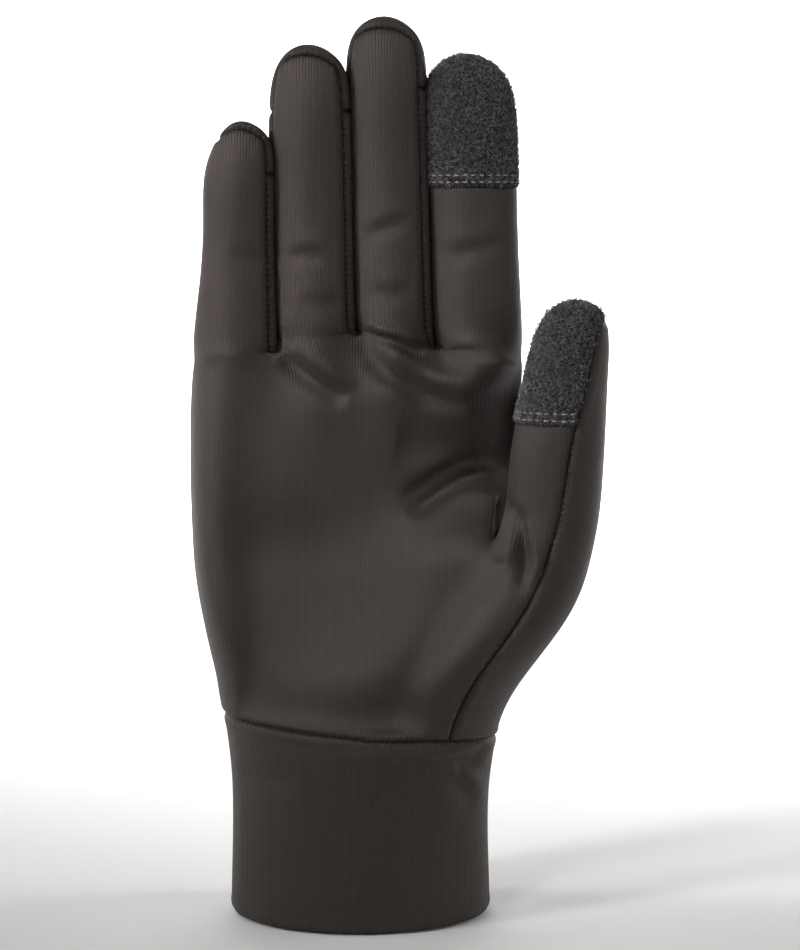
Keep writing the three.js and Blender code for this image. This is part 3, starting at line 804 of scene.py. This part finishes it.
def add_node(tree, kind, links=None, **settings):
    made = tree.nodes.new(kind)
    for key, value in settings.items():
        setattr(made, key, value)
    for socket, source in (links or {}).items():
        target = made.inputs[socket]
        if isinstance(source, bpy.types.NodeSocket):
            tree.links.new(source, target)
        else:
            target.default_value = source
    return made


def start_material(name, roughness):
    material = bpy.data.materials.new(name)
    material.use_nodes = True
    shader = material.node_tree.nodes["Principled BSDF"]
    shader.inputs["Roughness"].default_value = roughness
    return material, material.node_tree, shader


# A noise's scale is its grains to the millimetre, for coordinates in metres.
per_millimetre = 1000
wale_pitch, course_pitch = 0.00068, 0.00062
wale_drift, drift_scale = 0.5, 0.07 * per_millimetre
loop_slant, loop_share = 3.4 * math.pi, 0.25
pucker_pitch, pucker_reach, pucker_share = 0.0016, 0.001, 0.9
fuzz_scale, fuzz_relief, fuzz_shade = 1.5 * per_millimetre, 0.35, 0.5
knit_relief = 0.00013
# The groove colour is painted shade: within 0.9 mm of a seam the knit darkens towards it, 85 per cent of the
# way at 0.1 mm and closer.
seam_shade_start, seam_shade_end, seam_shade_share = 0.0001, 0.0009, 0.85


def make_knit(name, light, dark, groove):
    material, tree, shader = start_material(name, 0.5)
    chart = add_node(tree, "ShaderNodeUVMap", uv_map="wales")
    place = add_node(tree, "ShaderNodeSeparateXYZ", {0: chart.outputs[0]})
    spot = add_node(tree, "ShaderNodeTexCoord").outputs["Object"]
    drift = add_node(tree, "ShaderNodeTexNoise", {"Vector": spot, "Scale": drift_scale, "Detail": 2.0})
    sway = add_node(tree, "ShaderNodeMath", {0: drift.outputs[0], 1: wale_drift}, operation="MULTIPLY")
    wales = {0: place.outputs[0], 1: 1 / wale_pitch, 2: sway.outputs[0]}
    wale = add_node(tree, "ShaderNodeMath", wales, operation="MULTIPLY_ADD")
    across = add_node(tree, "ShaderNodeMath", {0: wale.outputs[0], 1: 0.5}, operation="PINGPONG")
    bend = add_node(tree, "ShaderNodeMath", {0: across.outputs[0], 1: math.pi}, operation="MULTIPLY")
    rib = add_node(tree, "ShaderNodeMath", {0: bend.outputs[0]}, operation="SINE")
    courses = {0: place.outputs[1], 1: 2 * math.pi / course_pitch}
    course = add_node(tree, "ShaderNodeMath", courses, operation="MULTIPLY")
    slopes = {0: across.outputs[0], 1: loop_slant, 2: course.outputs[0]}
    slant = add_node(tree, "ShaderNodeMath", slopes, operation="MULTIPLY_ADD")
    loop = add_node(tree, "ShaderNodeMath", {0: slant.outputs[0]}, operation="SINE")
    loops = {0: loop.outputs[0], 1: loop_share, 2: 1 - loop_share}
    body = add_node(tree, "ShaderNodeMath", loops, operation="MULTIPLY_ADD")
    height = add_node(tree, "ShaderNodeMath", {0: rib.outputs[0], 1: body.outputs[0]}, operation="MULTIPLY")
    seam = add_node(tree, "ShaderNodeAttribute", attribute_name="seam_distance").outputs["Fac"]
    along = add_node(tree, "ShaderNodeAttribute", attribute_name="seam_place").outputs["Fac"]
    fall = add_node(tree, "ShaderNodeMath", {0: seam, 1: -1 / pucker_reach}, operation="MULTIPLY")
    near = add_node(tree, "ShaderNodeMath", {0: fall.outputs[0]}, operation="EXPONENT")
    turn = add_node(tree, "ShaderNodeMath", {0: along, 1: 2 * math.pi / pucker_pitch}, operation="MULTIPLY")
    wave = add_node(tree, "ShaderNodeMath", {0: turn.outputs[0]}, operation="SINE")
    pucker = add_node(tree, "ShaderNodeMath", {0: wave.outputs[0], 1: near.outputs[0]}, operation="MULTIPLY")
    grain = {"Vector": spot, "Scale": fuzz_scale, "Detail": 3.0, "Roughness": 0.7}
    fuzz = add_node(tree, "ShaderNodeTexNoise", grain)
    fuzzed = {0: fuzz.outputs[0], 1: fuzz_relief, 2: height.outputs[0]}
    ribbed = add_node(tree, "ShaderNodeMath", fuzzed, operation="MULTIPLY_ADD")
    puckered = {0: pucker.outputs[0], 1: pucker_share, 2: ribbed.outputs[0]}
    relief = add_node(tree, "ShaderNodeMath", puckered, operation="MULTIPLY_ADD")
    raised = {"Height": relief.outputs[0], "Distance": knit_relief, "Strength": 1.0}
    bump = add_node(tree, "ShaderNodeBump", raised)
    shades = {0: fuzz.outputs[0], 1: fuzz_shade, 2: height.outputs[0]}
    shade = add_node(tree, "ShaderNodeMath", shades, operation="MULTIPLY_ADD")
    share = add_node(tree, "ShaderNodeMapRange", {0: shade.outputs[0], 1: 0.15, 2: 1.15})
    tones = {0: share.outputs[0], 6: linear(dark), 7: linear(light)}
    tone = add_node(tree, "ShaderNodeMix", tones, data_type="RGBA")
    # Painted shade along the seams: near each seam the tone is mixed towards the dark groove colour, standing
    # in for the shade in the groove.
    edge = {0: seam, 1: seam_shade_start, 2: seam_shade_end, 3: seam_shade_share, 4: 0.0}
    depth = add_node(tree, "ShaderNodeMapRange", edge)
    seam_shade_mix = {0: depth.outputs[0], 6: tone.outputs[2], 7: linear(groove)}
    seam_shaded = add_node(tree, "ShaderNodeMix", seam_shade_mix, data_type="RGBA")
    tangent = add_node(tree, "ShaderNodeTangent", direction_type="UV_MAP", uv_map="wales")
    tree.links.new(seam_shaded.outputs[2], shader.inputs["Base Color"])
    tree.links.new(bump.outputs[0], shader.inputs["Normal"])
    tree.links.new(tangent.outputs[0], shader.inputs["Tangent"])
    shader.inputs["Anisotropic"].default_value = 0.35
    shader.inputs["Specular IOR Level"].default_value = 0.4
    shader.inputs["Specular Tint"].default_value = linear("#efe0da")
    shader.inputs["Sheen Weight"].default_value = 0.06
    shader.inputs["Sheen Roughness"].default_value = 0.5
    shader.inputs["Sheen Tint"].default_value = linear("#b39c92")
    return material


# The third colour is the painted shade in the seam grooves.
stretch_knit = make_knit("polyester stretch jersey", "#383230", "#1b1817", "#070505")


# Palm panel: the palm side of the hand, the fronts of the fingers and of the thumb, one piece of the stretch
# jersey, sewn all round with a turned-in edge.
knit_wall = 0.0012


def sew(name, made, material):
    made.data.materials.append(material)
    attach(made, "root")
    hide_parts(name)


sew("palm_panel", build_panel("palm_panel", knit_wall), stretch_knit)

# Back panel: the back of the hand and fingers, over the fingertips, cut in one piece from the same jersey.
# It comes forward round the thumb's outer side, and is sewn to the palm panel, the strips and the cuff.
sew("back_panel", build_panel("back_panel", knit_wall), stretch_knit)

# Fourchettes: three narrow strips of the same jersey between the fingers, each sewn up the side of one finger
# and down the side of the next.
for strip in strips:
    sew(strip, build_panel(strip, knit_wall), stretch_knit)

# Touch pads: brushed conductive jersey over the tips of the index finger and the thumb, a little thicker than
# the panels. The eye sees a dark, matt, slightly cooler grey with curls of nap. The lower edge laps over the
# palm panel, held by two rows of light grey stitches.
pad_wall = 0.0016
pad_lift = 0.0004
curl_scale, curl_relief = 0.7 * per_millimetre, 0.0003


def make_fleece(name, light, dark):
    material, tree, shader = start_material(name, 0.9)
    spot = add_node(tree, "ShaderNodeTexCoord").outputs["Object"]
    grain = {"Vector": spot, "Scale": curl_scale, "Detail": 4.0, "Roughness": 0.65, "Distortion": 1.6}
    curls = add_node(tree, "ShaderNodeTexNoise", grain)
    share = add_node(tree, "ShaderNodeMapRange", {0: curls.outputs[0], 1: 0.35, 2: 0.68})
    tones = {0: share.outputs[0], 6: linear(dark), 7: linear(light)}
    tone = add_node(tree, "ShaderNodeMix", tones, data_type="RGBA")
    raised = {"Height": share.outputs[0], "Distance": curl_relief, "Strength": 1.0}
    bump = add_node(tree, "ShaderNodeBump", raised)
    tree.links.new(tone.outputs[2], shader.inputs["Base Color"])
    tree.links.new(bump.outputs[0], shader.inputs["Normal"])
    shader.inputs["Specular IOR Level"].default_value = 0.25
    shader.inputs["Sheen Weight"].default_value = 0.1
    return material


pads = ("index_touch_pad", "thumb_touch_pad")
brushed_jersey = make_fleece("brushed conductive jersey", "#363536", "#0e0e0e")
for pad in pads:
    sew(pad, build_panel(pad, pad_wall, pad_lift), brushed_jersey)


def add_input(tree, name, kind, value):
    socket = tree.interface.new_socket(name=name, in_out="INPUT", socket_type=kind)
    if value is not None:
        socket.default_value = value
    return socket.identifier


def start_tree(name):
    tree = bpy.data.node_groups.new(name, "GeometryNodeTree")
    add_input(tree, "Geometry", "NodeSocketGeometry", None)
    tree.interface.new_socket(name="Geometry", in_out="OUTPUT", socket_type="NodeSocketGeometry")
    return tree


def grow(name, mesh, tree, values):
    """The tree's result on a host mesh, baked to a mesh of its own that rides the glove."""
    host = add_object(name, mesh)
    modifier = host.modifiers.new(name, "NODES")
    modifier.node_group = tree
    for identifier, value in values.items():
        modifier[identifier] = value
    evaluated = host.evaluated_get(bpy.context.evaluated_depsgraph_get())
    baked = bpy.data.meshes.new_from_object(evaluated)
    host.modifiers.remove(modifier)
    host.data = baked
    baked.name = name
    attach(host, "root")


# Nap of the pads: brushed-up polyester fibre in short curls that lean every way. The eye sees pale, matt
# curls over the dark jersey. A real fibre is too thin to show, so each three-sided strand stands for several,
# about 0.14 mm thick, with 4.6 to the square millimetre.
nap_density = 4.6e6
bare_edge, full_nap = 0.0003, 0.0016


def nap_tree(material):
    tree = start_tree("curly nap")
    density = add_input(tree, "Tufts per square metre", "NodeSocketFloat", nap_density)
    add_input(tree, "Seed", "NodeSocketInt", 7)
    add_input(tree, "Tuft height", "NodeSocketFloat", 0.0007)
    entry = add_node(tree, "NodeGroupInput")
    room = add_node(tree, "GeometryNodeInputNamedAttribute", {"Name": "nap_share"}, data_type="FLOAT")
    dense = add_node(tree, "ShaderNodeMath", {0: room.outputs[0], 1: entry.outputs[1]}, operation="MULTIPLY")
    spread = {"Mesh": entry.outputs[0], "Density": dense.outputs[0], "Seed": entry.outputs[2]}
    points = add_node(tree, "GeometryNodeDistributePointsOnFaces", spread)
    turns = {"Resolution": 6, "Rotations": 0.75, "Start Radius": 0.00022, "End Radius": 0.0004}
    curl = add_node(tree, "GeometryNodeCurveSpiral", {**turns, "Height": entry.outputs[3]})
    round_edge = add_node(tree, "GeometryNodeCurvePrimitiveCircle", {"Resolution": 3, "Radius": 0.00007})
    swept = {"Curve": curl.outputs[0], "Profile Curve": round_edge.outputs[0]}
    strand = add_node(tree, "GeometryNodeCurveToMesh", swept)
    leans = {0: (-1.1, -1.1, 0.0), 1: (1.1, 1.1, 6.28), "Seed": entry.outputs[2]}
    lean = add_node(tree, "FunctionNodeRandomValue", leans, data_type="FLOAT_VECTOR")
    leaning = add_node(tree, "FunctionNodeEulerToRotation", {0: lean.outputs[0]})
    turning = {0: points.outputs["Rotation"], 1: leaning.outputs[0]}
    turned = add_node(tree, "FunctionNodeRotateRotation", turning, rotation_space="LOCAL")
    sizes = {2: 0.6, 3: 1.3, "Seed": entry.outputs[2]}
    size = add_node(tree, "FunctionNodeRandomValue", sizes, data_type="FLOAT")
    placed = {"Points": points.outputs[0], "Instance": strand.outputs[0], "Rotation": turned.outputs[0]}
    tufts = add_node(tree, "GeometryNodeInstanceOnPoints", {**placed, "Scale": size.outputs[1]})
    real = add_node(tree, "GeometryNodeRealizeInstances", {0: tufts.outputs[0]})
    dyed = add_node(tree, "GeometryNodeSetMaterial", {"Geometry": real.outputs[0], "Material": material})
    add_node(tree, "NodeGroupOutput", {0: dyed.outputs[0]})
    return tree, density


def outer_face(pad):
    """The outside of a pad as an open mesh, with a share of nap that rises away from its seam."""
    chosen = quads[panels == panel_names.index(pad)]
    away, _ = seam_distances(chosen, set())
    used, at = np.unique(chosen, return_inverse=True)
    mesh = bpy.data.meshes.new(pad + "_outside")
    mesh.from_pydata((skin[used] + skin_normals[used] * pad_lift).tolist(), [], at.reshape(-1, 4).tolist())
    share = (np.minimum(away[used], 1) - bare_edge) / (full_nap - bare_edge)
    add_values(mesh, "nap_share", np.clip(share, 0, 1))
    return mesh


tuft_fibre = make_fleece("brushed polyester fibre", "#9c9a9b", "#343334")
nap, density_input = nap_tree(tuft_fibre)
for pad in pads:
    grow(pad + "_nap", outer_face(pad), nap, {density_input: nap_density})


# Pad stitches: two rows of lockstitch in light grey polyester thread hold each pad, just inside its lapped
# edge. The eye sees pale matt dashes, faintly flecked. Each stitch is a small rounded bar 1.5 mm long.
row_places = (0.0013, 0.0031)
row_lift = 0.00025
edge_band = 0.004
strand_scale = 4 * per_millimetre


def stitch_tree(material):
    tree = start_tree("lockstitch row")
    add_input(tree, "Pitch", "NodeSocketFloat", 0.0022)
    add_input(tree, "Stitch size", "NodeSocketVector", (0.0015, 0.0004, 0.00028))
    entry = add_node(tree, "NodeGroupInput")
    line = add_node(tree, "GeometryNodeMeshToCurve", {0: entry.outputs[0]})
    steps = {"Curve": line.outputs[0], "Length": entry.outputs[1]}
    spaced = add_node(tree, "GeometryNodeResampleCurve", steps, mode="LENGTH")
    bead = add_node(tree, "GeometryNodeMeshUVSphere", {"Segments": 6, "Rings": 5, "Radius": 0.5})
    bar = add_node(tree, "GeometryNodeTransform", {"Geometry": bead.outputs[0], "Scale": entry.outputs[2]})
    forward = add_node(tree, "GeometryNodeInputTangent")
    up = add_node(tree, "GeometryNodeInputNamedAttribute", {"Name": "outward"}, data_type="FLOAT_VECTOR")
    turned = add_node(tree, "FunctionNodeAlignRotationToVector", {"Vector": forward.outputs[0]}, axis="X")
    rising = {"Rotation": turned.outputs[0], "Vector": up.outputs[0]}
    upright = add_node(tree, "FunctionNodeAlignRotationToVector", rising, axis="Z", pivot_axis="X")
    placed = {"Points": spaced.outputs[0], "Instance": bar.outputs[0], "Rotation": upright.outputs[0]}
    stitches = add_node(tree, "GeometryNodeInstanceOnPoints", placed)
    real = add_node(tree, "GeometryNodeRealizeInstances", {0: stitches.outputs[0]})
    dyed = add_node(tree, "GeometryNodeSetMaterial", {"Geometry": real.outputs[0], "Material": material})
    add_node(tree, "NodeGroupOutput", {0: dyed.outputs[0]})
    return tree


def lapped_row(pad, inward, lift):
    """A line on the outside of a pad, a set way inside its lapped edge."""
    chosen = quads[panels == panel_names.index(pad)]
    surface = BVHTree.FromPolygons(skin.tolist(), chosen.tolist())
    edges, _, uses = read_edges(chosen)
    links = rim_links(pair for pair in edges[uses == 1].tolist() if lapped_edges.issuperset(pair))
    point = min((at for at, near in links.items() if len(near) == 1), key=lambda at: skin[at][0])
    order = []
    while point is not None:
        order.append(point)
        point = next((other for other in links[point] if other not in order), None)
    level = sum(skin[at][2] for at in order[1:-1]) / (len(order) - 2)
    low = [at for at in order if skin[at][2] < level + edge_band]
    points, outward = [], []
    for at in low[2:-2]:
        spot, normal, _, _ = surface.find_nearest(Vector(skin[at]) + Vector((0, 0, inward)))
        points.append(spot + normal * lift)
        outward.append(normal)
    mesh = bpy.data.meshes.new(pad + "_row")
    mesh.from_pydata(points, [(i, i + 1) for i in range(len(points) - 1)], [])
    attribute = mesh.attributes.new("outward", "FLOAT_VECTOR", "POINT")
    attribute.data.foreach_set("vector", np.array(outward, np.float32).ravel())
    return mesh


thread, thread_tree, thread_shader = start_material("light grey polyester thread", 0.6)
twist = {"Vector": add_node(thread_tree, "ShaderNodeTexCoord").outputs["Object"], "Scale": strand_scale}
strands = add_node(thread_tree, "ShaderNodeTexNoise", twist)
greys = {0: strands.outputs[0], 6: linear("#8b8988"), 7: linear("#bdbab8")}
dye = add_node(thread_tree, "ShaderNodeMix", greys, data_type="RGBA")
thread_tree.links.new(dye.outputs[2], thread_shader.inputs["Base Color"])
lockstitch = stitch_tree(thread)
for pad in pads:
    for number, inward in enumerate(row_places):
        row = lapped_row(pad, inward, pad_lift + row_lift)
        grow(f"{pad}_stitches_{number + 1}", row, lockstitch, {})

# Cuff: a doubled band of the same jersey, so nearly twice as thick. Its lower edge is a fold, and its upper
# edge is sewn to both panels round the wrist.
cuff_wall = 0.0022
sew("cuff", build_panel("cuff", cuff_wall), stretch_knit)


# Floor and backdrop: one seamless sheet of matt white paper under and behind the glove, bent up at the back.
# The eye sees white above and a soft shadow on pale paper below.
def make_sweep(floor_height, half_width, front, back, rise, bend, steps):
    outline = [(-front, floor_height), (back - bend, floor_height)]
    for step in range(1, steps):
        turn = math.pi / 2 * step / steps
        outline.append((back - bend + bend * math.sin(turn), floor_height + bend * (1 - math.cos(turn))))
    outline += [(back, floor_height + bend), (back, rise)]
    points = [(side * half_width, y, z) for y, z in outline for side in (-1, 1)]
    faces = [(2 * i, 2 * i + 1, 2 * i + 3, 2 * i + 2) for i in range(len(outline) - 1)]
    mesh = bpy.data.meshes.new("paper_sweep")
    mesh.from_pydata(points, [], faces)
    mesh.polygons.foreach_set("use_smooth", [True] * len(faces))
    material, _, shader = start_material("matt white paper", 0.9)
    shader.inputs["Base Color"].default_value = linear("#f4f4f3")
    mesh.materials.append(material)
    add_object("paper_sweep", mesh)


make_sweep(floor_height=-0.0015, half_width=3.0, front=3.0, back=1.6, rise=3.0, bend=0.6, steps=12)

# Lights: two small gridded boxes brighten the palm and its left edge, two strips and a fill light the sides,
# and two wide boxes light the paper behind. Sizes are in metres, power in watts, spread in degrees.
aim = Vector((photo_middle[0], 0.0, photo_middle[1]))


def add_light(name, place, size, power, target=aim, spread=180):
    data = bpy.data.lights.new(name, "AREA")
    data.shape = "RECTANGLE"
    data.size, data.size_y = size
    data.energy = power
    data.spread = math.radians(spread)
    made = add_object(name, data)
    made.location = place
    made.rotation_euler = (Vector(target) - Vector(place)).to_track_quat("-Z", "Y").to_euler()


add_light("palm_grid", (-0.35, -0.7, 0.72), (0.2, 0.2), 0.09, (-0.02, 0.0, 0.19), 26)
add_light("left_grid", (-0.8, -0.45, 0.45), (0.2, 0.2), 0.21, (-0.03, 0.0, 0.165), 23)
add_light("left_strip", (-1.0, -0.2, 0.2), (0.3, 1.0), 0.6)
add_light("right_fill", (0.7, -0.7, 0.3), (0.3, 0.3), 1.2)
add_light("right_strip", (1.0, -0.4, 0.1), (0.3, 0.8), 2.0)
add_light("backdrop_left", (-1.2, 0.4, 1.0), (0.8, 0.8), 27, (0, 1.5, 0.2), 100)
add_light("backdrop_right", (1.2, 0.4, 1.0), (0.8, 0.8), 27, (0, 1.5, 0.2), 100)

world = bpy.data.worlds.new("studio")
world.use_nodes = True
world.node_tree.nodes["Background"].inputs[0].default_value = linear("#ffffff")
world.node_tree.nodes["Background"].inputs[1].default_value = 0.05
bpy.context.scene.world = world
bpy.context.scene.view_settings.view_transform = "Standard"

# Camera: 0.65 m from the glove's middle and 6 degrees above it, matched to the photograph's view.
camera_distance = 0.650
camera_rise = math.radians(6)
sensor = 36
camera = add_object("camera", bpy.data.cameras.new("camera"))
camera.location = aim + Vector((0, -math.cos(camera_rise), math.sin(camera_rise))) * camera_distance
camera.rotation_euler = (aim - camera.location).to_track_quat("-Z", "Y").to_euler()
camera.data.sensor_width = sensor
camera.data.lens = sensor * camera_distance / pixel_size / photo_height
camera.data.clip_start, camera.data.clip_end = 0.05, 20
bpy.context.scene.camera = camera
